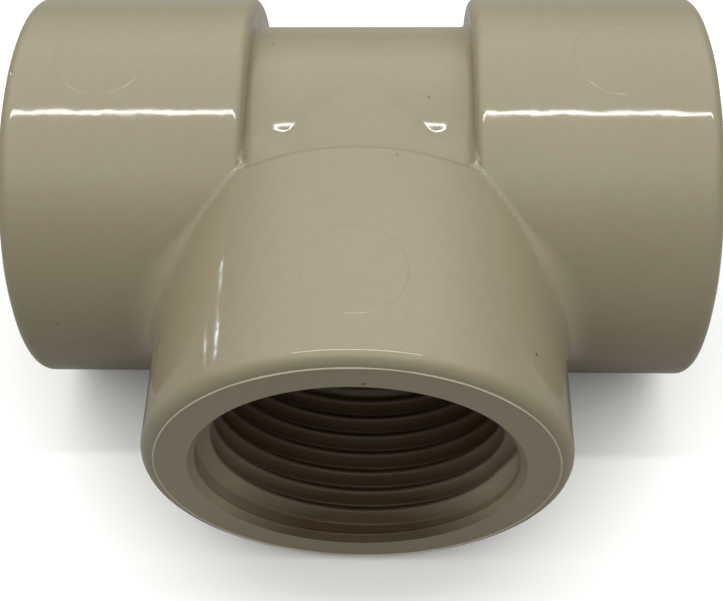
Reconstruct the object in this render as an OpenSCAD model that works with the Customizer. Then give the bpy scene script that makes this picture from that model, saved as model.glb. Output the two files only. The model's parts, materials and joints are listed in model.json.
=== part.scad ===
// Female threaded equal tee for PVC pipework, moulded in one shot.
// Millimetres, +Z up. The origin is where the axes of the run and the branch cross.
// The run lies along X and the branch points along -Y, so all three sockets rest on
// the plane z = -socket_od / 2.
// Each module is one region of the moulding and meets its neighbours face to face.

/* [Fitting] */
// Distance from the crossing of the axes to the face of each mouth
mouth_reach = 37.5; // [36:0.5:45]
// Outside diameter of the three sockets
socket_od = 44; // [43:0.5:48]
// Distance from the crossing of the axes to the shoulder behind each socket
shoulder_reach = 12; // [11:0.5:13]
// Outside diameter of the necks between the shoulders
neck_od = 37.2; // [36:0.2:39]
// Diameter of the waterway that runs straight through, behind the threads
waterway_d = 28; // [24:0.5:29]
// Diameter of the waterway from the branch into the run
branch_waterway_d = 27.5; // [23.5:0.5:28.5]

/* [Threads] */
// Minor diameter of the G1 pipe thread, at which each plain thread wall stands
thread_minor_d = 30.291; // [30.2:0.001:30.6]
// Major diameter of the thread, at which the relief in front of its first crest stands
thread_major_d = 33.249; // [33.1:0.001:33.4]
// Distance from a mouth to the end of that relief
relief_depth = 2; // [1:0.1:3]
// Distance from a mouth to the inner end of its thread
thread_depth = 19; // [15:0.5:22]
// Diameter of the lead-in chamfer where it meets the face of a mouth
lead_in_d = 34.4; // [33.5:0.1:34.8]
// Outside diameter of the sleeve of wall that carries each thread
thread_sleeve_od = 35.4; // [35:0.1:37]

/* [Rounded edges] */
// Radius on the outer edge of each mouth
mouth_edge_r = 1.4; // [0.8:0.1:2]
// Radius on the outer edge of each shoulder
shoulder_edge_r = 1.2; // [0.6:0.1:2]
// Radius in the corner at the foot of each shoulder
shoulder_foot_r = 0.8; // [0.4:0.1:1.5]
// Reach of the corner web between the run and the branch, at mid height
web_reach = 3.6; // [2:0.2:5]

/* [Mould marks] */
// Outside diameter of the ring that a mould insert leaves on top of each socket
mark_od = 10.4; // [8:0.2:12]
// Width of that ring
mark_width = 0.4; // [0.2:0.1:0.6]
// Height that the ring stands above the socket
mark_height = 0.08; // [0.04:0.02:0.2]
// Distance from the crossing of the axes to the middle of each ring
mark_reach = 27.5; // [25:0.5:30]

/* [Hidden] */
$fn = 96;
pvc = "#b5ac90";
pvc_thread = "#a09778";
pvc_web = "#aaa184";
pvc_mark = "#c2b99c";

socket_r = socket_od / 2;
neck_r = neck_od / 2;
waterway_r = waterway_d / 2;
branch_waterway_r = branch_waterway_d / 2;
thread_minor_r = thread_minor_d / 2;
thread_major_r = thread_major_d / 2;
lead_in_r = lead_in_d / 2;
sleeve_r = thread_sleeve_od / 2;
thread_end = mouth_reach - thread_depth;
lead_in_depth = lead_in_r - thread_major_r;
over = 1;

// Height angle at which the crease between the run and the branch meets the shoulders
crease_top = acos(shoulder_reach / socket_r);
web_top = 0.88 * crease_top;
web_levels = 16;
arc_steps = 6;

// Turns a shape drawn along +Z so that it runs out of the named mouth.
module toward(mouth) {
    turn = mouth == "left" ? [0, -90, 0] : mouth == "right" ? [0, 90, 0] : [90, 0, 0];
    rotate(turn) children();
}

// Half the section of a socket: radius along X, distance from the crossing along Y.
module socket_section() {
    shoulder_y = shoulder_reach + shoulder_edge_r;
    mouth_y = mouth_reach - mouth_edge_r;
    translate([0, shoulder_y]) square([socket_r, mouth_y - shoulder_y]);
    translate([0, shoulder_reach])
        square([socket_r - shoulder_edge_r, shoulder_edge_r]);
    translate([0, mouth_y]) square([socket_r - mouth_edge_r, mouth_edge_r]);
    intersection() {
        translate([socket_r - shoulder_edge_r, shoulder_y]) circle(shoulder_edge_r);
        translate([0, shoulder_reach]) square([socket_r, shoulder_edge_r]);
    }
    intersection() {
        translate([socket_r - mouth_edge_r, mouth_y]) circle(mouth_edge_r);
        translate([0, mouth_y]) square([socket_r, mouth_edge_r]);
    }
}

// One socket with its waterway and the seat of its thread sleeve, drawn along +Z.
module socket_tube(bore_r) {
    difference() {
        rotate_extrude() socket_section();
        translate([0, 0, shoulder_reach - over])
            cylinder(r = bore_r, h = mouth_reach);
        translate([0, 0, thread_end]) cylinder(r = sleeve_r, h = thread_depth + over);
    }
}

// The quarter of space on the branch's side of both mitre planes.
module branch_quarter() {
    reach = 2 * mouth_reach;
    translate([0, 0, -reach])
        linear_extrude(2 * reach) polygon([[0, 0], [-reach, -reach], [reach, -reach]]);
}

// Half the section of a neck, with the rounded corner at the foot of a shoulder.
module neck_section() {
    foot_y = shoulder_reach - shoulder_foot_r;
    square([neck_r, shoulder_reach]);
    difference() {
        translate([neck_r, foot_y]) square(shoulder_foot_r);
        translate([neck_r + shoulder_foot_r, foot_y]) circle(shoulder_foot_r);
    }
}

// The wall between the three shoulders, where the two waterways cross.
module centre_body() {
    width = 2 * shoulder_reach;
    color(pvc) difference() {
        intersection() {
            union() {
                for (mouth = ["left", "right", "branch"])
                    toward(mouth) rotate_extrude() neck_section();
            }
            translate([-shoulder_reach, -shoulder_reach, -socket_r])
                cube([width, shoulder_reach + socket_r, socket_od]);
        }
        rotate([0, 90, 0])
            cylinder(r = waterway_r, h = width + 2 * over, center = true);
        rotate([90, 0, 0]) cylinder(r = branch_waterway_r, h = shoulder_reach + over);
    }
}

// A run socket, cut back to the mitre where it meets the branch socket.
module run_socket(mouth) {
    color(pvc) difference() {
        toward(mouth) socket_tube(waterway_r);
        branch_quarter();
    }
}

// The branch socket, cut back to both mitres and to the waterway of the run.
module branch_socket() {
    color(pvc) difference() {
        intersection() {
            toward("branch") socket_tube(branch_waterway_r);
            branch_quarter();
        }
        rotate([0, 90, 0])
            cylinder(r = waterway_r, h = 2 * mouth_reach, center = true);
    }
}

// The sleeve of wall that carries a female thread, with the relief and the lead-in
// chamfer at its mouth.
module thread_sleeve(mouth) {
    color(pvc_thread) toward(mouth) difference() {
        translate([0, 0, thread_end]) cylinder(r = sleeve_r, h = thread_depth);
        translate([0, 0, thread_end - over])
            cylinder(r = thread_minor_r, h = thread_depth + 2 * over);
        translate([0, 0, mouth_reach - relief_depth])
            cylinder(r = thread_major_r, h = relief_depth + over);
        translate([0, 0, mouth_reach - lead_in_depth])
            cylinder(r1 = thread_major_r, r2 = lead_in_r, h = lead_in_depth);
    }
}

// Reach of the web at a height angle: widest at mid height, thin by the shoulders.
function web_reach_at(angle) = web_reach * pow(1 - abs(angle) / crease_top, 0.8) + 0.1;

// Outline of the web at one height: the point where the run and the branch cross, and
// a hollow quarter circle that is tangent to both. The run is left and the branch below.
function web_outline(angle) =
    let (
        side = socket_r * cos(angle),
        z = socket_r * sin(angle),
        reach = web_reach_at(angle),
        centre = side + reach
    )
    concat(
        [[-side, -side, z]],
        [for (i = [0:arc_steps])
            let (a = 90 - 90 * i / arc_steps)
            [-centre + reach * cos(a), -centre + reach * sin(a), z]]
    );

// Corner web that rounds the crease between a run socket and the branch socket.
module left_web_shape() {
    rows = [for (i = [0:web_levels]) web_outline(web_top * (2 * i / web_levels - 1))];
    n = len(rows[0]);
    side_faces = [for (i = [0:web_levels - 1]) for (j = [0:n - 1])
        let (a = i * n + j, b = i * n + (j + 1) % n)
        each [[a, b, b + n], [a, b + n, a + n]]];
    bottom = [for (j = [n - 1:-1:0]) j];
    top = [for (j = [0:n - 1]) web_levels * n + j];
    polyhedron([for (row = rows) each row], concat(side_faces, [bottom, top]));
}

module left_web() {
    color(pvc_web) left_web_shape();
}

module right_web() {
    color(pvc_web) mirror([1, 0, 0]) left_web_shape();
}

// Low ring around the end of a mould insert, following the round of the socket.
module mould_mark(mouth) {
    mark_r = mark_od / 2;
    place = mouth == "left" ? [-mark_reach, 0] :
        mouth == "right" ? [mark_reach, 0] : [0, -mark_reach];
    color(pvc_mark) difference() {
        intersection() {
            translate(place) cylinder(r = mark_r, h = socket_od);
            toward(mouth) cylinder(r = socket_r + mark_height, h = mouth_reach);
        }
        translate(concat(place, [-over]))
            cylinder(r = mark_r - mark_width, h = socket_od + 2 * over);
        toward(mouth) cylinder(r = socket_r, h = mouth_reach + over);
    }
}

centre_body();
run_socket("left");  // left_socket
run_socket("right");  // right_socket
branch_socket();
thread_sleeve("left");  // left_thread
thread_sleeve("right");  // right_thread
thread_sleeve("branch");  // branch_thread
left_web();
right_web();
mould_mark("left");  // left_mark
mould_mark("right");  // right_mark
mould_mark("branch");  // branch_mark
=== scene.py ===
import json
import math

import bmesh
import bpy
import numpy as np
from mathutils import Matrix, Vector


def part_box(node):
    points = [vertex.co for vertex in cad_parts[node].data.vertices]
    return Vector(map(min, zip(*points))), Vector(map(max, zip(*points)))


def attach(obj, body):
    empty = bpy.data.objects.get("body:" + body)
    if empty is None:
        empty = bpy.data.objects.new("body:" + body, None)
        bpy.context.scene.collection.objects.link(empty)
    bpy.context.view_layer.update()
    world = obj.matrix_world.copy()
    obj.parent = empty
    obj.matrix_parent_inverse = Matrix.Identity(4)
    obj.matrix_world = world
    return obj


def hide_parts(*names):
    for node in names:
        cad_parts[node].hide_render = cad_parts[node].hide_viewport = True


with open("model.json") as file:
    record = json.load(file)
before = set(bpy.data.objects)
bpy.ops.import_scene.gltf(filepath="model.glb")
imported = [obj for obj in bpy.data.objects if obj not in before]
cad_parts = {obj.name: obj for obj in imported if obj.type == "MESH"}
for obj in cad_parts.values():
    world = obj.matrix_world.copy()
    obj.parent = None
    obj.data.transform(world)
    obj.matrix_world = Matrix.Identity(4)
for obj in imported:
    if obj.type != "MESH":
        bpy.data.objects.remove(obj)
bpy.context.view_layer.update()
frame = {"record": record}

# Lengths are in millimetres until a mesh is written, and then in metres.
MM = 0.001
mounts = {m["name"]: m for m in frame["record"]["mounts"]}


def box_mm(node):
    low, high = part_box(node)
    return np.array(low) / MM, np.array(high) / MM


# ---------------------------------------------------------------- sizes from the frame
left_low, left_high = box_mm("left_socket")
mark_low, mark_high = box_mm("right_mark")
SOCKET_R = (left_high[2] - left_low[2]) / 2
REACH = -left_low[0]
SHOULDER = box_mm("centre_body")[1][0]
RUN_BORE_R = mounts["run_waterway"]["dims"]["r_mm"]
BRANCH_BORE_R = mounts["branch_waterway"]["dims"]["r_mm"]
MINOR_R = mounts["branch_port"]["dims"]["r_mm"]
SEAT_END = box_mm("right_thread")[0][0]
MARK_R = (mark_high[0] - mark_low[0]) / 2
MARK_REACH = (mark_high[0] + mark_low[0]) / 2

# ---------------------------------------------------------------- sizes of the moulding
NECK_R = 18.6
SHOULDER_EDGE = 1.2
MOUTH_EDGE = 1.4
# Radius of the hole that each thread wall fills
SEAT_R = 17.25
# Width of the fillet in the crease between two collars: near its top, and added at mid height
THIN_WEB = 0.4
WEB = 3.4
# Width of the fillet between the necks, and what is added to it towards the corners where all
# three shoulders meet and towards the shoulder of the branch
NECK_WEB = 2.7
CORNER_WEB = 30.0
SHOULDER_WEB = 7.0
# Distance along the run at which the first of these starts to grow, and the distances along
# the branch between which the second grows
CORNER_START = 7.0
BRANCH_SWELL = (6.5, 10.0)
# Width of the fillet at the foot of a shoulder, and how far a neck reaches on into its collar
FOOT = 0.9
NECK_OVERLAP = 2

# Cell of the grid that the surface is found on, and the distance within which corners are merged
CELL = 0.45
WELD = 0.0008
# Distance of the parting planes from the crossing of the axes, a quarter of a cell off a row of
# the net
CUT = 24.75 * CELL
# How far the boring tools pass the mouths, and how far the parting blocks reach
PAST_MOUTH = 3
FAR = 80
BLOCK_HEIGHT = 60
# How near a point has to be to the outside to take its normal from the field, and the area in
# square millimetres below which a face is too thin for its own direction to be compared with it
NEAR_OUTSIDE = 0.02
SLIVER = 0.002

# G1 pipe thread, Whitworth form
PITCH = 2.309
MAJOR_R = 16.6245
HALF_ANGLE = math.radians(27.5)
TIP_R = 0.137329 * PITCH


# ---------------------------------------------------------------- the outside as a field
def ease(value):
    """Rises smoothly from 0 to 1 as the value goes from 0 to 1."""
    value = np.clip(value, 0, 1)
    return value * value * (3 - 2 * value)


def smooth_min(a, b, width):
    """The lower of two fields, with a fillet of that width where they cross."""
    width = np.maximum(width, 1e-6)
    h = np.maximum(width - np.abs(a - b), 0) / width
    return np.minimum(a, b) - h * h * width / 4


def rounded_step(across, past, edge):
    """A corner between two faces, given the distances past each of them."""
    a = across + edge
    b = past + edge
    return np.minimum(np.maximum(a, b), 0) + np.hypot(np.maximum(a, 0), np.maximum(b, 0)) - edge


def collar(radius, along):
    """One socket: a round bar from its shoulder to its mouth, with both edges rounded."""
    across = radius - SOCKET_R
    shoulder = rounded_step(across, SHOULDER - along, SHOULDER_EDGE)
    mouth = rounded_step(across, along - REACH, MOUTH_EDGE)
    return np.where(along < (SHOULDER + REACH) / 2, shoulder, mouth)


def outside(p):
    """Below zero in the plastic or its waterways, and above zero in the air."""
    x, y, z = p[..., 0], p[..., 1], p[..., 2]
    run_r = np.sqrt(y * y + z * z) + 1e-9
    branch_r = np.sqrt(x * x + z * z) + 1e-9
    # 1 at mid height, where the run and the branch meet squarely, and 0 where both are level
    open_angle = np.clip(1 - z * z / (run_r * branch_r), 0, 1)
    web = THIN_WEB + WEB * ease(2 * open_angle - 1)
    collars = smooth_min(collar(run_r, np.abs(x)), collar(branch_r, -y), web)
    # The fillet between the necks swells into the corners where all three shoulders meet.
    corner = np.clip((np.abs(x) - CORNER_START) / (SHOULDER - CORNER_START), 0, 1)
    past_shoulder = ease(np.maximum(np.abs(x), -y) - SHOULDER)
    near_branch = ease((-y - BRANCH_SWELL[0]) / (BRANCH_SWELL[1] - BRANCH_SWELL[0]))
    neck_web = NECK_WEB + CORNER_WEB * corner ** 2 * (1 - past_shoulder)
    neck_web = (neck_web + SHOULDER_WEB * near_branch) * open_angle
    necks = smooth_min(run_r - NECK_R, np.maximum(branch_r - NECK_R, y), neck_web)
    necks = np.maximum(necks, np.maximum(np.abs(x), -y) - SHOULDER - NECK_OVERLAP)
    return smooth_min(collars, necks, FOOT)


def slope(p, step=1e-3):
    """Gradient of the field."""
    g = np.empty_like(p)
    for i in range(3):
        q = np.zeros(3)
        q[i] = step
        g[..., i] = (outside(p + q) - outside(p - q)) / (2 * step)
    return g


def unit(v):
    return v / np.maximum(np.linalg.norm(v, axis=-1, keepdims=True), 1e-12)


def onto_surface(p, rounds=5, level=False):
    """Moves points onto the zero of the field, and keeps their height when level is set."""
    for _ in range(rounds):
        g = slope(p)
        if level:
            g[:, 2] = 0
        p = p - g * (outside(p) / np.maximum((g * g).sum(-1), 1e-9))[..., None]
    return p


def surface_net(cell, margin=2):
    """Quads over the zero of the field: one corner in each grid cell that it crosses."""
    nx = int(math.ceil(REACH / cell)) + margin
    nz = int(math.ceil(SOCKET_R / cell)) + margin
    xs = (np.arange(-nx, nx + 1) + 0.5) * cell
    ys = np.arange(-nx, nz + 1) * cell
    zs = (np.arange(-nz, nz + 1) + 0.5) * cell
    grid = np.stack(np.meshgrid(xs, ys, zs, indexing="ij"), -1)
    value = outside(grid)
    solid = value < 0
    cells = tuple(n - 1 for n in value.shape)
    total = np.zeros(cells + (3,))
    count = np.zeros(cells)
    edges = []
    for axis in range(3):
        lower = [slice(None)] * 3
        upper = [slice(None)] * 3
        lower[axis] = slice(0, -1)
        upper[axis] = slice(1, None)
        at = np.argwhere(solid[tuple(lower)] != solid[tuple(upper)])
        here = tuple(at.T)
        step = np.zeros(3, int)
        step[axis] = 1
        there = tuple((at + step).T)
        share = (value[here] / (value[here] - value[there]))[:, None]
        point = grid[here] * (1 - share) + grid[there] * share
        b, c = (axis + 1) % 3, (axis + 2) % 3
        ring = []
        for db, dc in ((-1, -1), (0, -1), (0, 0), (-1, 0)):
            cell_at = at.copy()
            cell_at[:, b] += db
            cell_at[:, c] += dc
            ring.append(cell_at)
            np.add.at(total, tuple(cell_at.T), point)
            np.add.at(count, tuple(cell_at.T), 1)
        edges.append((ring, solid[here]))
    number = np.full(cells, -1)
    used = count > 0
    number[used] = np.arange(used.sum())
    corners = total[used] / count[used][:, None]
    quads = []
    for ring, outward in edges:
        q = np.stack([number[tuple(r.T)] for r in ring], 1)
        q[~outward] = q[~outward][:, ::-1]
        quads.append(q)
    return corners, np.concatenate(quads)


def relax(corners, quads, rounds):
    """Evens out the spacing of the corners, and keeps them on the surface."""
    a = quads.ravel()
    b = np.roll(quads, -1, 1).ravel()
    for _ in range(rounds):
        total = np.zeros_like(corners)
        count = np.zeros(len(corners))
        for i, j in ((a, b), (b, a)):
            np.add.at(total, i, corners[j])
            np.add.at(count, i, 1)
        move = total / count[:, None] - corners
        n = unit(slope(corners))
        move -= n * (move * n).sum(-1, keepdims=True)
        corners = onto_surface(corners + 0.5 * move, 2)
    return corners


# ---------------------------------------------------------------- meshes and objects
def mesh_from(name, corners, faces):
    mesh = bpy.data.meshes.new(name)
    corners = (np.asarray(corners) * MM).tolist()
    mesh.from_pydata(corners, [], [list(map(int, f)) for f in faces])
    mesh.validate()
    mesh.update()
    return mesh


def add_object(name, mesh):
    piece = bpy.data.objects.new(name, mesh)
    bpy.context.scene.collection.objects.link(piece)
    return piece


def shade(mesh, degrees):
    """Smooth shading, with a sharp edge where two faces meet at more than that angle."""
    mesh.shade_smooth()
    mesh.set_sharp_from_angle(angle=math.radians(degrees))


def lathe(name, outline, turn, segments=192):
    """A closed solid of revolution from (radius, along) corners that start and end on the axis."""
    inner = outline[1:-1]
    angles = np.arange(segments) * 2 * math.pi / segments
    rows = [np.stack([r * np.cos(angles), r * np.sin(angles), np.full(segments, t)], 1)
            for r, t in inner]
    corners = np.concatenate(rows + [[[0, 0, outline[0][1]], [0, 0, outline[-1][1]]]])
    first, last = len(corners) - 2, len(corners) - 1
    top = (len(inner) - 1) * segments
    faces = []
    for i in range(segments):
        j = (i + 1) % segments
        faces.append((first, j, i))
        for row in range(0, top, segments):
            above = row + segments
            faces.append((row + i, row + j, above + j, above + i))
        faces.append((last, top + i, top + j))
    return add_object(name, mesh_from(name, turn(corners), faces))


def to_right(p):
    return np.stack([p[..., 2], p[..., 1], -p[..., 0]], -1)


def to_left(p):
    return np.stack([-p[..., 2], p[..., 1], p[..., 0]], -1)


def to_branch(p):
    return np.stack([p[..., 0], -p[..., 2], p[..., 1]], -1)


# What turns a shape drawn along +Z so that it runs out of each mouth
TURNS = {"left": to_left, "right": to_right, "branch": to_branch}


def prism(name, plan, height):
    """A closed block with that plan, listed anticlockwise, used to part the casting."""
    n = len(plan)
    corners = [(x, y, -height) for x, y in plan] + [(x, y, height) for x, y in plan]
    faces = [tuple(range(n))[::-1], tuple(range(n, 2 * n))]
    faces += [(i, (i + 1) % n, n + (i + 1) % n, n + i) for i in range(n)]
    return add_object(name, mesh_from(name, corners, faces))


def cut(target, tool, operation):
    modifier = target.modifiers.new("cut", "BOOLEAN")
    modifier.operation = operation
    modifier.solver = "MANIFOLD"
    modifier.object = tool
    graph = bpy.context.evaluated_depsgraph_get()
    result = bpy.data.meshes.new_from_object(target.evaluated_get(graph))
    target.modifiers.clear()
    old = target.data
    target.data = result
    bpy.data.meshes.remove(old)


def open_edges(bm):
    """Number of edges that aren't shared by exactly two faces."""
    return sum(1 for e in bm.edges if len(e.link_faces) != 2)


def weld(piece):
    """Cuts a parted piece into triangles, and removes the flat flaps where two of them lie back to
    back on a parting plane."""
    bm = bmesh.new()
    bm.from_mesh(piece.data)
    bmesh.ops.remove_doubles(bm, verts=bm.verts, dist=WELD * MM)
    bmesh.ops.dissolve_degenerate(bm, dist=WELD * MM, edges=bm.edges)
    bmesh.ops.triangulate(bm, faces=bm.faces)
    while True:
        same = {}
        for face in bm.faces:
            same.setdefault(frozenset(v.index for v in face.verts), []).append(face)
        flaps = [face for faces in same.values() if len(faces) > 1 for face in faces]
        if not flaps:
            break
        bmesh.ops.delete(bm, geom=flaps, context="FACES")
        bm.verts.index_update()
    print(piece.name, "faces:", len(bm.faces), "open edges:", open_edges(bm))
    bm.to_mesh(piece.data)
    bm.free()


def drop(*objects):
    for o in objects:
        mesh = o.data
        bpy.data.objects.remove(o)
        bpy.data.meshes.remove(mesh)


def rows_of(items, attribute, width, kind):
    """One attribute of every corner or face of a mesh, as rows of numbers."""
    values = np.empty(len(items) * width, kind)
    items.foreach_get(attribute, values)
    return values.reshape(-1, width)


def smooth_with_field(piece):
    """Smooth shading whose normals on the outside come from the field, so that the joins between
    regions of the moulding can't be seen."""
    mesh = piece.data
    shade(mesh, 30)
    points = rows_of(mesh.vertices, "co", 3, np.float32).astype(float) / MM
    corner = rows_of(mesh.loops, "vertex_index", 1, np.int32)[:, 0]
    sides = rows_of(mesh.polygons, "loop_total", 1, np.int32)[:, 0]
    flat = rows_of(mesh.polygons, "normal", 3, np.float32)
    area = rows_of(mesh.polygons, "area", 1, np.float32)[:, 0]
    normals = rows_of(mesh.corner_normals, "vector", 3, np.float32).astype(float)
    sliver = area / MM ** 2 < SLIVER
    on_outside = np.abs(outside(points)) < NEAR_OUTSIDE
    field_normal = unit(slope(points))[corner]
    face_of = np.repeat(np.arange(len(sides)), sides)
    agree = (flat[face_of] * field_normal).sum(-1) > 0.5
    good = on_outside[corner] & (agree | sliver[face_of])
    # A face takes the field's normals at all of its corners or at none.
    bad_faces = np.zeros(len(sides), bool)
    np.logical_or.at(bad_faces, face_of[~good], True)
    good &= ~bad_faces[face_of]
    normals[good] = field_normal[good]
    mesh.normals_split_custom_set(normals.tolist())


# ---------------------------------------------------------------- the casting
corners, quads = surface_net(CELL)
corners = relax(onto_surface(corners), quads, 5)
casting = add_object("casting", mesh_from("casting", corners, quads))
TOOL_END = REACH + PAST_MOUTH
run_tool = lathe("run_tool", [(0, -TOOL_END), (SEAT_R, -TOOL_END), (SEAT_R, -SEAT_END),
                              (RUN_BORE_R, -SEAT_END), (RUN_BORE_R, SEAT_END), (SEAT_R, SEAT_END),
                              (SEAT_R, TOOL_END), (0, TOOL_END)], to_right)
branch_tool = lathe("branch_tool", [(0, 0), (BRANCH_BORE_R, 0), (BRANCH_BORE_R, SEAT_END),
                                    (SEAT_R, SEAT_END), (SEAT_R, TOOL_END), (0, TOOL_END)],
                    to_branch)
cut(casting, run_tool, "DIFFERENCE")
cut(casting, branch_tool, "DIFFERENCE")

# The plan of the block that parts each moulding from the casting
plans = {
    "centre_moulding": [(-CUT, -CUT), (CUT, -CUT), (CUT, FAR), (-CUT, FAR)],
    "left_collar": [(-CUT, -CUT), (-CUT, FAR), (-FAR, FAR), (-FAR, -FAR)],
    "right_collar": [(CUT, -CUT), (FAR, -FAR), (FAR, FAR), (CUT, FAR)],
    "branch_collar": [(-CUT, -CUT), (-FAR, -FAR), (FAR, -FAR), (CUT, -CUT)],
}
stands_for = {
    "centre_moulding": ["centre_body"],
    "left_collar": ["left_socket", "left_web"],
    "right_collar": ["right_socket", "right_web"],
    "branch_collar": ["branch_socket"],
}
mouldings = {}
for name, plan in plans.items():
    block = prism("block", plan, BLOCK_HEIGHT)
    piece = add_object(name, casting.data.copy())
    cut(piece, block, "INTERSECT")
    piece.data.name = name
    weld(piece)
    smooth_with_field(piece)
    drop(block)
    mouldings[name] = piece
drop(casting, run_tool, branch_tool)

# ---------------------------------------------------------------- threads
# Depth of a crest at angle 0, in pitches, which follows the crests seen in the branch
THREAD_START = 1.02
# Depths of a crest between which the thread rises out of the relief
FIRST_CREST = (2.28, 2.48)
# Length over which the thread fades at its inner end
RUN_OUT = 3.0
# Radius of the chamfer at the face, and the width of the fillet at its inner edge
LEAD_R = SEAT_R
LEAD_SOFT = 0.05
# Height, depth and half width of the low lip behind the chamfer
LIP = 0.08
LIP_AT = 0.78
LIP_HALF = 0.17
# Depth at which the helical rows of corners start; in front of it the rows are plain rings
STRAIGHT = 1.0
# Rings of corners over the lip, in half widths, over the inner edge of the chamfer and near its
# outer edge, in millimetres, and over the edge of the face as (in from LEAD_R, depth)
LIP_RINGS = (1, 0.8, 0.6, 0.4, 0.2, 0, -0.2, -0.4, -0.6, -0.8)
CHAMFER_RINGS = (0, 0.04, 0.1)
OUTER_RING = 0.12
FACE_RINGS = ((0.06, 0.05), (0.015, 0.012), (0.0, 0.0))
# Distances within which the corners of a thread wall are merged and its thin faces dissolved
THREAD_WELD = 0.002
THREAD_THIN = 0.001


def whitworth(phase):
    """Radius of the thread's wall at a distance, in pitches, from the middle of a crest."""
    w = np.abs((phase + 0.5) % 1 - 0.5) * PITCH
    mean = (MINOR_R + MAJOR_R) / 2
    height = PITCH / (2 * math.tan(HALF_ANGLE))
    flank = mean - height / 2 + w / math.tan(HALF_ANGLE)
    tangent = TIP_R * math.cos(HALF_ANGLE)
    crest = MINOR_R + TIP_R - np.sqrt(np.maximum(TIP_R ** 2 - w * w, 0))
    v = PITCH / 2 - w
    root = MAJOR_R - TIP_R + np.sqrt(np.maximum(TIP_R ** 2 - v * v, 0))
    return np.where(w < tangent, crest, np.where(v < tangent, root, flank))


def thread_radius(angle, depth):
    """Inner wall of a port at an angle round its axis and a depth from its face: a chamfer, a low
    lip, a short relief at the major radius, and a right-handed thread that rises out of it."""
    turn = angle / (2 * math.pi)
    phase = THREAD_START - depth / PITCH - turn
    crest_depth = PITCH * (THREAD_START - turn - np.round(phase))
    begun = ease((crest_depth - FIRST_CREST[0]) / (FIRST_CREST[1] - FIRST_CREST[0]))
    wall = MAJOR_R - (MAJOR_R - whitworth(phase)) * begun
    wall = wall - LIP * ease(1 - np.abs(depth - LIP_AT) / LIP_HALF)
    left = ease((REACH - SEAT_END - depth) / RUN_OUT)
    wall = MINOR_R + (wall - MINOR_R) * left
    return -smooth_min(-wall, depth - LEAD_R, np.full_like(wall, LEAD_SOFT))


def plain_radius(depth):
    return float(thread_radius(np.zeros(1), np.array([depth]))[0])


def build_thread(name, turn, columns=240, rows_per_pitch=20, outer_rings=12):
    """A closed ring with the thread on its inside. Rows of corners follow the helix, and those that
    run past either end of it are pressed onto a plain ring there and merged."""
    length = REACH - SEAT_END
    angles = np.arange(columns + 1) * 2 * math.pi / columns
    step = PITCH / rows_per_pitch
    offset = THREAD_START * PITCH % step
    count = int(math.ceil(length / step)) + rows_per_pitch + 2
    depth = np.arange(count)[:, None] * step + offset - PITCH * angles[None, :] / (2 * math.pi)
    depth = np.clip(depth, STRAIGHT, length)
    radius = thread_radius(np.broadcast_to(angles, depth.shape), depth)
    helix = np.stack([radius * np.cos(angles), radius * np.sin(angles), REACH - depth], -1)
    width = columns + 1
    j, i = np.meshgrid(np.arange(count - 1), np.arange(columns), indexing="ij")
    a = (j * width + i).ravel()
    faces = [np.stack([a, a + width, a + width + 1, a + 1], 1)]
    # The relief, the chamfer, the face, the hidden outside and the inner end, as plain rings.
    chamfer_end = LEAD_R - MAJOR_R
    mouth_depths = [STRAIGHT] + [LIP_AT + LIP_HALF * t for t in LIP_RINGS]
    mouth_depths += [chamfer_end - t for t in CHAMFER_RINGS] + [chamfer_end / 2, OUTER_RING]
    outline = [(plain_radius(d), d) for d in mouth_depths]
    outline += [(LEAD_R - inward, d) for inward, d in FACE_RINGS]
    outline += [(SEAT_R, d) for d in np.linspace(0, length, outer_rings)[1:]]
    inner = plain_radius(length)
    outline += [((SEAT_R + inner) / 2, length), (inner, length)]
    rings = np.array([[(r * math.cos(t), r * math.sin(t), REACH - d) for t in angles]
                      for r, d in outline])
    k, i = np.meshgrid(np.arange(len(outline) - 1), np.arange(columns), indexing="ij")
    b = count * width + (k * width + i).ravel()
    faces.append(np.stack([b, b + 1, b + width + 1, b + width], 1))
    corners = np.concatenate([helix.reshape(-1, 3), rings.reshape(-1, 3)])
    mesh = mesh_from(name, turn(corners), np.concatenate(faces))
    bm = bmesh.new()
    bm.from_mesh(mesh)
    bmesh.ops.remove_doubles(bm, verts=bm.verts, dist=THREAD_WELD * MM)
    bmesh.ops.dissolve_degenerate(bm, dist=THREAD_THIN * MM, edges=bm.edges)
    bmesh.ops.recalc_face_normals(bm, faces=bm.faces)
    print(name, "open edges:", open_edges(bm))
    bm.to_mesh(mesh)
    bm.free()
    shade(mesh, 40)
    return add_object(name, mesh)


threads = {side: build_thread(side + "_thread_wall", turn) for side, turn in TURNS.items()}

# ---------------------------------------------------------------- marks and mould lines
# Each ridge has a width, a height above the wall and a depth to which its foot is sunk in it.
# The insert ring's height varies round it, and the bead's by two waves round the mouth.
RING_R = MARK_R - 0.18
RING_WIDTH = 0.32
RING_LOW = 0.004
RING_RISE = 0.03
RING_SINK = 0.05
# Where each insert ring stands highest: the arc nearest the camera on the left socket
RING_TURN = {"left": 0.15, "right": 5.2, "branch": 6.2}
BEAD_WIDTH = 0.24
BEAD_HEIGHT = 0.11
BEAD_WAVE = 0.025
BEAD_SINK = 0.04
LINE_WIDTH = 0.22
LINE_HEIGHT = 0.035
LINE_SINK = 0.04
# Number of points over which a mould line sinks at each end, and how far it sinks
LINE_FADE = 8
LINE_DROP = 0.03


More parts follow.
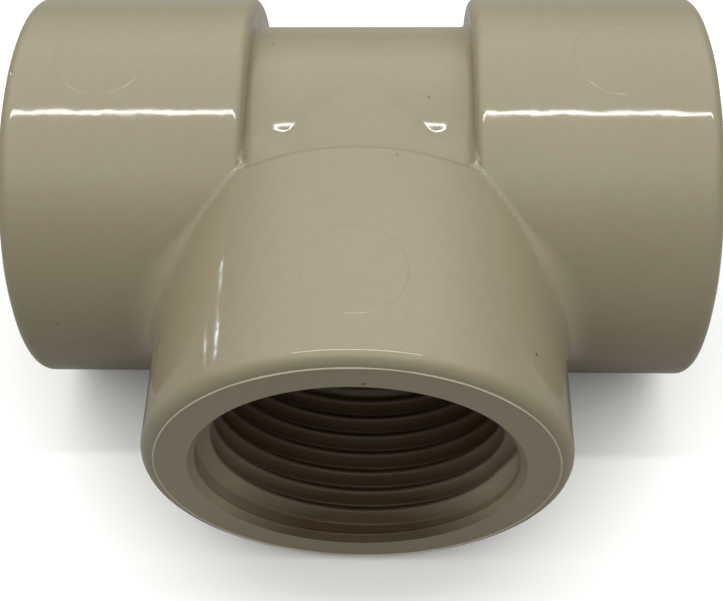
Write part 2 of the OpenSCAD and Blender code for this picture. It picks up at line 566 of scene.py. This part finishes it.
def swept(name, paths, sections):
    """Closed bars. Each path is its points, the directions across and up at each of them, and
    whether it closes on itself. Each section has rows of (across, up) corners, one per point."""
    corners, faces = [], []
    for (points, across, up, closed), section in zip(paths, sections):
        n, m = section.shape[:2]
        start = len(corners)
        ring = points[:, None] + across[:, None] * section[..., :1] + up[:, None] * section[..., 1:]
        corners.extend(ring.reshape(-1, 3))
        for i in range(n if closed else n - 1):
            a, b = start + i * m, start + (i + 1) % n * m
            for k in range(m):
                faces.append((a + k, b + k, b + (k + 1) % m, a + (k + 1) % m))
        if not closed:
            faces.append(tuple(start + k for k in range(m)))
            faces.append(tuple(start + (n - 1) * m + k for k in range(m))[::-1])
    mesh = mesh_from(name, np.array(corners), faces)
    bm = bmesh.new()
    bm.from_mesh(mesh)
    bmesh.ops.recalc_face_normals(bm, faces=bm.faces)
    bm.to_mesh(mesh)
    bm.free()
    shade(mesh, 50)
    return add_object(name, mesh)


def low_ridge(width, height, sink, steps):
    """Section of a low rounded ridge whose foot is sunk into the wall below it."""
    t = np.linspace(-1, 1, 2 * steps + 1)
    top = np.stack([t * width / 2, height * np.cos(t * math.pi / 2) ** 2], 1)
    foot = np.array([[width / 2, -sink], [-width / 2, -sink]])
    return np.concatenate([top, foot])


def uneven_ridge(width, sink, heights, steps=4):
    """Sections of a low ridge whose height changes from one section to the next."""
    sections = np.repeat(low_ridge(width, 1.0, sink, steps)[None], len(heights), 0)
    lifted = sections[..., 1] > 0
    sections[..., 1] = np.where(lifted, sections[..., 1] * heights[:, None], sections[..., 1])
    return sections


def on_socket(side, p):
    """Turns (across, up, along) of a socket into x, y and z."""
    across, up, along = p[..., 0], p[..., 1], p[..., 2]
    if side == "branch":
        return np.stack([across, -along, up], -1)
    if side == "right":
        return np.stack([along, across, up], -1)
    return np.stack([-along, -across, up], -1)


def insert_ring(side, number, segments=160):
    """The ring that the end of a mould insert leaves, laid on the round of a socket."""
    angle = np.arange(segments) * 2 * math.pi / segments
    across = RING_R * np.sin(angle)
    along = MARK_REACH + RING_R * np.cos(angle)
    top = np.sqrt(SOCKET_R ** 2 - across ** 2)
    point = np.stack([across, top, along], 1)
    up = unit(np.stack([across, top, 0 * top], 1))
    outward = np.stack([np.sin(angle), 0 * angle, np.cos(angle)], 1)
    outward = unit(outward - up * (outward * up).sum(1, keepdims=True))
    around = np.linspace(0, 2 * math.pi, segments, endpoint=False)
    waves = 0.75 * np.sin(around + RING_TURN[side]) + 0.35 * np.sin(3 * around + number)
    heights = RING_LOW + RING_RISE * ease(0.5 + waves)
    path = (on_socket(side, point), on_socket(side, outward), on_socket(side, up), True)
    return swept(side + "_insert_ring", [path], [uneven_ridge(RING_WIDTH, RING_SINK, heights)])


def mould_line(plan, spacing=0.4):
    """A path and its sections along the outside at mid height, following a rough plan."""
    points = []
    for a, b in zip(plan[:-1], plan[1:]):
        a, b = np.array(a, float), np.array(b, float)
        n = max(2, int(np.linalg.norm(b - a) / spacing))
        points += [a + (b - a) * t for t in np.arange(n) / n]
    points.append(np.array(plan[-1], float))
    p = np.array([(x, y, 0.0) for x, y in points])
    p = onto_surface(p, 12, level=True)
    for _ in range(6):
        q = p.copy()
        q[1:-1] = (p[:-2] + p[2:]) / 2
        p = onto_surface(q, 1, level=True)
    out = unit(slope(p))
    across = np.tile([0.0, 0.0, 1.0], (len(p), 1))
    n = len(p)
    fade = np.clip(np.minimum(np.arange(n), np.arange(n)[::-1]) / LINE_FADE, 0, 1)
    sections = np.repeat(low_ridge(LINE_WIDTH, LINE_HEIGHT, LINE_SINK, 3)[None], n, 0)
    sections[..., 1] -= (1 - fade)[:, None] * LINE_DROP
    return (p, across, out, False), sections


def rim_bead(side, segments=360):
    """The fine bead of flash where the face of a mouth meets its rounded edge."""
    angle = np.arange(segments) * 2 * math.pi / segments
    r = SOCKET_R - MOUTH_EDGE
    c, s = np.cos(angle), np.sin(angle)
    zero = 0 * angle
    point = TURNS[side](np.stack([r * c, r * s, zero + REACH], 1))
    across = TURNS[side](np.stack([c, s, zero], 1))
    up = TURNS[side](np.stack([zero, zero, zero + 1], 1))
    heights = BEAD_HEIGHT + BEAD_WAVE * np.sin(5 * angle + 1) * np.sin(11 * angle + 2)
    section = uneven_ridge(BEAD_WIDTH, BEAD_SINK, heights)
    return swept(side + "_rim_flash", [(point, across, up, True)], [section])


marks = {side: insert_ring(side, number) for number, side in enumerate(TURNS)}

# Rough plans of the three mould lines: along the back, and round each crease to the mouths
edge = REACH - MOUTH_EDGE * 0.7
crease = SOCKET_R + 1
line_plans = [
    [(-edge, SOCKET_R), (-SHOULDER, SOCKET_R), (-SHOULDER, NECK_R), (SHOULDER, NECK_R),
     (SHOULDER, SOCKET_R), (edge, SOCKET_R)],
    [(-edge, -SOCKET_R), (-crease, -crease), (-SOCKET_R, -edge)],
    [(edge, -SOCKET_R), (crease, -crease), (SOCKET_R, -edge)],
]
lines = [mould_line(plan) for plan in line_plans]
mould_lines = swept("mould_line", [path for path, _ in lines], [section for _, section in lines])
beads = {side: rim_bead(side) for side in TURNS}

# ---------------------------------------------------------------- materials
# Linear colours of the plastic. The two browns are painted shade: the walls inside the ports and
# waterways are really the same cream plastic.
CREAM = (0.245, 0.216, 0.139)
CREAM_SHADOW = (0.17, 0.14, 0.088)
BORE_SHADE = (0.064, 0.043, 0.019)
BORE_SHADE_DARK = (0.040, 0.025, 0.010)
WITNESS = (0.24, 0.21, 0.14)
# Painted highlight: the flash bead is drawn much paler than the body, for the light line along the
# edge of each face
FLASH_HIGHLIGHT = (0.44, 0.40, 0.29)
IOR = 1.54
# Scales of the textures, in cells per metre
BROAD_SCALE = 38
FLOW_SCALE = 55
GRAIN_SCALE = 900
SPECK_SCALE = 170
POLISH_SCALE = 140
RIPPLE_SCALES = (95, 290, 1500)
# How much of the second and third ripple is added to the first, and the depth of a bump of 1
RIPPLE_SHARES = (0.5, 0.012)
RIPPLE_DEPTH = 0.00006
# Stretch of the flow marks along each axis, and their tint
FLOW_STRETCH = (1.0, 0.35, 1.6)
FLOW_TINT = (1.03, 1.0, 0.93)
# Factors on the colour in the darker and the paler patches of the mottling
MOTTLE = (0.955, 1.035)
# Radii between which a speck fades, the random numbers between which specks start to show (a
# cell below both has none), and their strength and tint
SPECK_RADII = (0.02, 0.05)
SPECK_CHOICE = (0.10, 0.12)
SPECK_STRENGTH = 0.75
SPECK_TINT = (0.35, 0.28, 0.22)
# Depths in a port between which its wall turns from the painted-shade brown to cream, as painted
# light near the mouth, and the heights between which that painted light fades low down
LIT_DEPTHS = (9, 2)
LIT_HEIGHTS = (-15.5, -8)


def tint(colour, factors):
    return [c * f for c, f in zip(colour, factors)]


def node_material(name):
    material = bpy.data.materials.new(name)
    material.use_nodes = True
    nodes, links = material.node_tree.nodes, material.node_tree.links
    nodes.clear()
    out = nodes.new("ShaderNodeOutputMaterial")
    shader = nodes.new("ShaderNodeBsdfPrincipled")
    links.new(shader.outputs["BSDF"], out.inputs["Surface"])
    return material, nodes, links, shader


def feed(links, socket, value):
    """Links a value into a socket, or sets it there if it is a number or a colour."""
    if isinstance(value, bpy.types.NodeSocket):
        links.new(value, socket)
    elif isinstance(value, (int, float)):
        socket.default_value = value
    else:
        socket.default_value = (*value, 1)


def noise(nodes, links, where, scale, detail=2.0, rough=0.5, stretch=None):
    tex = nodes.new("ShaderNodeTexNoise")
    tex.inputs["Scale"].default_value = scale
    tex.inputs["Detail"].default_value = detail
    tex.inputs["Roughness"].default_value = rough
    if stretch is None:
        links.new(where, tex.inputs["Vector"])
    else:
        mapping = nodes.new("ShaderNodeMapping")
        mapping.inputs["Scale"].default_value = stretch
        links.new(where, mapping.inputs["Vector"])
        links.new(mapping.outputs["Vector"], tex.inputs["Vector"])
    return tex.outputs["Fac"]


def ramp(nodes, links, value, stops):
    node = nodes.new("ShaderNodeValToRGB")
    elements = node.color_ramp.elements
    while len(elements) < len(stops):
        elements.new(0.5)
    for element, (at, colour) in zip(elements, stops):
        element.position = at
        element.color = (*colour, 1)
    links.new(value, node.inputs["Fac"])
    return node.outputs["Color"]


def spread(nodes, links, value, low, high, to_low, to_high):
    """Maps the range from low to high onto the range from to_low to to_high."""
    node = nodes.new("ShaderNodeMapRange")
    node.inputs["From Min"].default_value = low
    node.inputs["From Max"].default_value = high
    node.inputs["To Min"].default_value = to_low
    node.inputs["To Max"].default_value = to_high
    links.new(value, node.inputs["Value"])
    return node.outputs["Result"]


def mix(nodes, links, share, a, b):
    """The first colour, with that share of the second mixed in."""
    node = nodes.new("ShaderNodeMix")
    node.data_type = "RGBA"
    sockets = {socket.identifier: socket for socket in node.inputs}
    feed(links, sockets["Factor_Float"], share)
    feed(links, sockets["A_Color"], a)
    feed(links, sockets["B_Color"], b)
    return next(s for s in node.outputs if s.identifier == "Result_Color")


def maths(nodes, links, operation, a, b):
    node = nodes.new("ShaderNodeMath")
    node.operation = operation
    feed(links, node.inputs[0], a)
    feed(links, node.inputs[1], b)
    return node.outputs[0]


def mouth_light_share(nodes, links, where):
    """How much painted light the wall of a port gets: most near its mouth, and least low down."""
    axes = nodes.new("ShaderNodeSeparateXYZ")
    links.new(where, axes.inputs["Vector"])
    sideways = maths(nodes, links, "ABSOLUTE", axes.outputs["X"], 0.0)
    forward = maths(nodes, links, "MULTIPLY", axes.outputs["Y"], -1.0)
    along = maths(nodes, links, "MAXIMUM", sideways, forward)
    deep, shallow = [(REACH - depth) * MM for depth in LIT_DEPTHS]
    low, high = [z * MM for z in LIT_HEIGHTS]
    near_mouth = spread(nodes, links, along, deep, shallow, 0.0, 1.0)
    above = spread(nodes, links, axes.outputs["Z"], low, high, 0.0, 1.0)
    return maths(nodes, links, "MULTIPLY", near_mouth, above)


def plastic(name, colour, shadow, roughness, wave=1.0, shine=0.5, mouth_light_colour=None):
    """Glossy cream PVC as moulded: faint flow marks and mottling, dark specks, a slightly uneven
    polish and the shallow ripple of a cooled wall. Given a mouth colour, the wall of a port is
    painted paler near its mouth and stays darker deep inside and low down: painted light and shade."""
    material, nodes, links, shader = node_material(name)
    where = nodes.new("ShaderNodeTexCoord").outputs["Object"]
    broad = noise(nodes, links, where, BROAD_SCALE)
    flow = noise(nodes, links, where, FLOW_SCALE, 4.0, 0.55, FLOW_STRETCH)
    grain = noise(nodes, links, where, GRAIN_SCALE)
    darker, paler = [[c * factor for c in colour] for factor in MOTTLE]
    base = ramp(nodes, links, broad, [(0.32, darker), (0.68, paler)])
    flow_share = spread(nodes, links, flow, 0.45, 0.75, 0.0, 0.35)
    base = mix(nodes, links, flow_share, base, tint(colour, FLOW_TINT))
    base = mix(nodes, links, spread(nodes, links, grain, 0.35, 0.65, 0.0, 0.1), base, shadow)
    # Painted light near the mouth of a port, fading into painted shade deep inside and low down.
    if mouth_light_colour:
        base = mix(nodes, links, mouth_light_share(nodes, links, where), base, mouth_light_colour)
    specks = nodes.new("ShaderNodeTexVoronoi")
    specks.inputs["Scale"].default_value = SPECK_SCALE
    links.new(where, specks.inputs["Vector"])
    near = spread(nodes, links, specks.outputs["Distance"], *SPECK_RADII, 1.0, 0.0)
    chosen = nodes.new("ShaderNodeSeparateColor")
    links.new(specks.outputs["Color"], chosen.inputs["Color"])
    shown = spread(nodes, links, chosen.outputs["Red"], *SPECK_CHOICE, 0.0, 1.0)
    strength = maths(nodes, links, "MULTIPLY", near, shown)
    strength = maths(nodes, links, "MULTIPLY", strength, SPECK_STRENGTH)
    base = mix(nodes, links, strength, base, tint(shadow, SPECK_TINT))
    links.new(base, shader.inputs["Base Color"])
    uneven = noise(nodes, links, where, POLISH_SCALE, 3.0)
    polish = spread(nodes, links, uneven, 0.3, 0.7, roughness * 0.85, roughness * 1.25)
    links.new(polish, shader.inputs["Roughness"])
    shader.inputs["IOR"].default_value = IOR
    shader.inputs["Specular IOR Level"].default_value = shine
    height, small, fine = [noise(nodes, links, where, scale) for scale in RIPPLE_SCALES]
    for ripple, share in zip((small, fine), RIPPLE_SHARES):
        height = maths(nodes, links, "ADD", height, maths(nodes, links, "MULTIPLY", ripple, share))
    bump = nodes.new("ShaderNodeBump")
    bump.inputs["Strength"].default_value = 1.0
    bump.inputs["Distance"].default_value = RIPPLE_DEPTH * wave
    links.new(height, bump.inputs["Height"])
    links.new(bump.outputs["Normal"], shader.inputs["Normal"])
    return material


body_plastic = plastic("cream_pvc", CREAM, CREAM_SHADOW, 0.075)
# The threads and waterway walls are drawn in a painted-shade brown for the shade deep in the bores,
# not in the cream they really are.
bore_shade_plastic = plastic("thread_pvc_painted_shade", BORE_SHADE, BORE_SHADE_DARK, 0.40, wave=0.6, shine=0.28,
                         mouth_light_colour=CREAM)
mark_plastic = plastic("witness_pvc", WITNESS, CREAM_SHADOW, 0.14, wave=0.3)
flash_highlight_plastic = plastic("flash_pvc_highlight", FLASH_HIGHLIGHT, CREAM, 0.25, wave=0.3)


def in_waterway(face, margin=0.05):
    """Whether a face of the moulding is on the wall of a waterway, inside the threads."""
    x, y, z = face.center / MM
    reach = SEAT_END + margin
    wide = max(RUN_BORE_R, BRANCH_BORE_R) + margin
    in_run = math.hypot(y, z) < wide and abs(x) < reach
    return in_run or (math.hypot(x, z) < wide and -reach < y < 0)


def dress(piece, material, slot, *nodes):
    piece.data.materials.clear()
    piece.data.materials.append(material)
    # The walls of the waterways take the painted-shade brown of the threads.
    if piece in mouldings.values():
        piece.data.materials.append(bore_shade_plastic)
        for face in piece.data.polygons:
            if in_waterway(face):
                face.material_index = 1
    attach(piece, "root")
    if nodes:
        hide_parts(*nodes)


for name, piece in mouldings.items():
    dress(piece, body_plastic, "pvc_body", *stands_for[name])
for side in TURNS:
    dress(threads[side], bore_shade_plastic, "pvc_thread", side + "_thread")
    dress(marks[side], mark_plastic, "pvc_mark", side + "_mark")
    # The flash beads' pale colour is a painted highlight along the edge of each mouth's face.
    dress(beads[side], flash_highlight_plastic, "pvc_mark")
dress(mould_lines, mark_plastic, "pvc_mark")

# ---------------------------------------------------------------- stage, light and camera
FLOOR_Z = -SOCKET_R * MM
FLOOR_HALF = 3.0
FLOOR_WHITE = (0.98, 0.98, 0.98, 1)
FLOOR_DULL = (0.29, 0.28, 0.265, 1)
# Three small panes of a window, low on the left behind the fitting: place, width and height
PANES = [((-0.825, 0.552, 0.120), (0.010, 0.012)), ((-0.852, 0.496, 0.149), (0.013, 0.010)),
         ((-0.867, 0.488, 0.034), (0.006, 0.008))]
# Their power per square metre, the point they face and their colour
PANE_POWER = 240
PANE_TARGET = (-0.013, -0.03, 0.018)
PANE_COLOUR = (0.74, 0.83, 1.0)
# A soft sky, brightest overhead and a little behind, and much dimmer at the horizon
ZENITH = (0.0, 0.2, 0.98)
SKY = [(0.0, (0.17, 0.17, 0.17)), (0.3, (0.28, 0.28, 0.28)), (0.5, (0.49, 0.49, 0.49)),
       (0.75, (0.88, 0.88, 0.86)), (1.0, (0.90, 0.90, 0.88))]
SKY_STRENGTH = 1.78

scene = bpy.context.scene
floor_mesh = bpy.data.meshes.new("floor")
floor_corners = [(x * FLOOR_HALF, y * FLOOR_HALF, FLOOR_Z)
                 for x, y in ((-1, -1), (1, -1), (1, 1), (-1, 1))]
floor_mesh.from_pydata(floor_corners, [], [(0, 1, 2, 3)])
floor = add_object("floor", floor_mesh)
floor_material, nodes, links, shader = node_material("pale_floor")
shader.inputs["Base Color"].default_value = FLOOR_WHITE
shader.inputs["Roughness"].default_value = 0.9
shader.inputs["Specular IOR Level"].default_value = 0.2
# The floor looks near white, but throws no more light up onto the fitting than a grey table does.
dull = nodes.new("ShaderNodeBsdfDiffuse")
dull.inputs["Color"].default_value = FLOOR_DULL
either = nodes.new("ShaderNodeMixShader")
links.new(nodes.new("ShaderNodeLightPath").outputs["Is Camera Ray"], either.inputs["Fac"])
links.new(dull.outputs["BSDF"], either.inputs[1])
links.new(shader.outputs["BSDF"], either.inputs[2])
surface = next(node for node in nodes if node.type == "OUTPUT_MATERIAL").inputs["Surface"]
links.new(either.outputs["Shader"], surface)
floor_mesh.materials.append(floor_material)


def area_light(name, power, size, place, target=(0, 0, 0), colour=(1, 1, 1)):
    light = bpy.data.lights.new(name, "AREA")
    light.shape = "RECTANGLE"
    light.size, light.size_y = size
    light.energy = power
    light.color = colour
    lamp = bpy.data.objects.new(name, light)
    lamp.location = place
    aim = Vector(target) - Vector(place)
    lamp.rotation_euler = aim.to_track_quat("-Z", "Y").to_euler()
    scene.collection.objects.link(lamp)
    return lamp


# The tube hangs level and shines straight down.
tube = area_light("ceiling_tube", 0.72, (0.6, 0.020), (0, 0.025, 0.5))
tube.rotation_euler = (0, 0, 0)
for number, (place, size) in enumerate(PANES):
    power = PANE_POWER * size[0] * size[1]
    area_light("window_pane_%d" % (number + 1), power, size, place, PANE_TARGET, PANE_COLOUR)

world = bpy.data.worlds.new("studio")
world.use_nodes = True
scene.world = world
nodes, links = world.node_tree.nodes, world.node_tree.links
nodes.clear()
background = nodes.new("ShaderNodeBackground")
world_out = nodes.new("ShaderNodeOutputWorld")
links.new(background.outputs["Background"], world_out.inputs["Surface"])
height_of = nodes.new("ShaderNodeVectorMath")
height_of.operation = "DOT_PRODUCT"
links.new(nodes.new("ShaderNodeTexCoord").outputs["Generated"], height_of.inputs[0])
height_of.inputs[1].default_value = ZENITH
sky = ramp(nodes, links, height_of.outputs["Value"], SKY)
links.new(sky, background.inputs["Color"])
background.inputs["Strength"].default_value = SKY_STRENGTH

# The camera looks down on the branch's mouth from the front. Its place was worked out from the
# outline and edges of the sockets in the photo.
AZIMUTH = math.radians(2.691)
ELEVATION = math.radians(52.274)
ROLL = math.radians(-1.940)
DISTANCE = 155.126
TARGET = np.array([-0.219, -3.755, 0.0])
back = np.array([math.sin(AZIMUTH) * math.cos(ELEVATION), -math.cos(AZIMUTH) * math.cos(ELEVATION),
                 math.sin(ELEVATION)])
level = np.array([math.cos(AZIMUTH), math.sin(AZIMUTH), 0.0])
upright = np.cross(back, level)
right = math.cos(ROLL) * level + math.sin(ROLL) * upright
above = np.cross(back, right)
camera = bpy.data.cameras.new("camera")
camera.lens = 65.94
camera.sensor_width = 36
camera.shift_y = -0.1253
camera.clip_start = 0.01
camera.clip_end = 50
camera_object = bpy.data.objects.new("camera", camera)
pose = Matrix([list(row) for row in np.stack([right, above, back], 1)]).to_4x4()
pose.translation = Vector((TARGET + back * DISTANCE) * MM)
camera_object.matrix_world = pose
scene.collection.objects.link(camera_object)
scene.camera = camera_object
scene.view_settings.view_transform = "Standard"
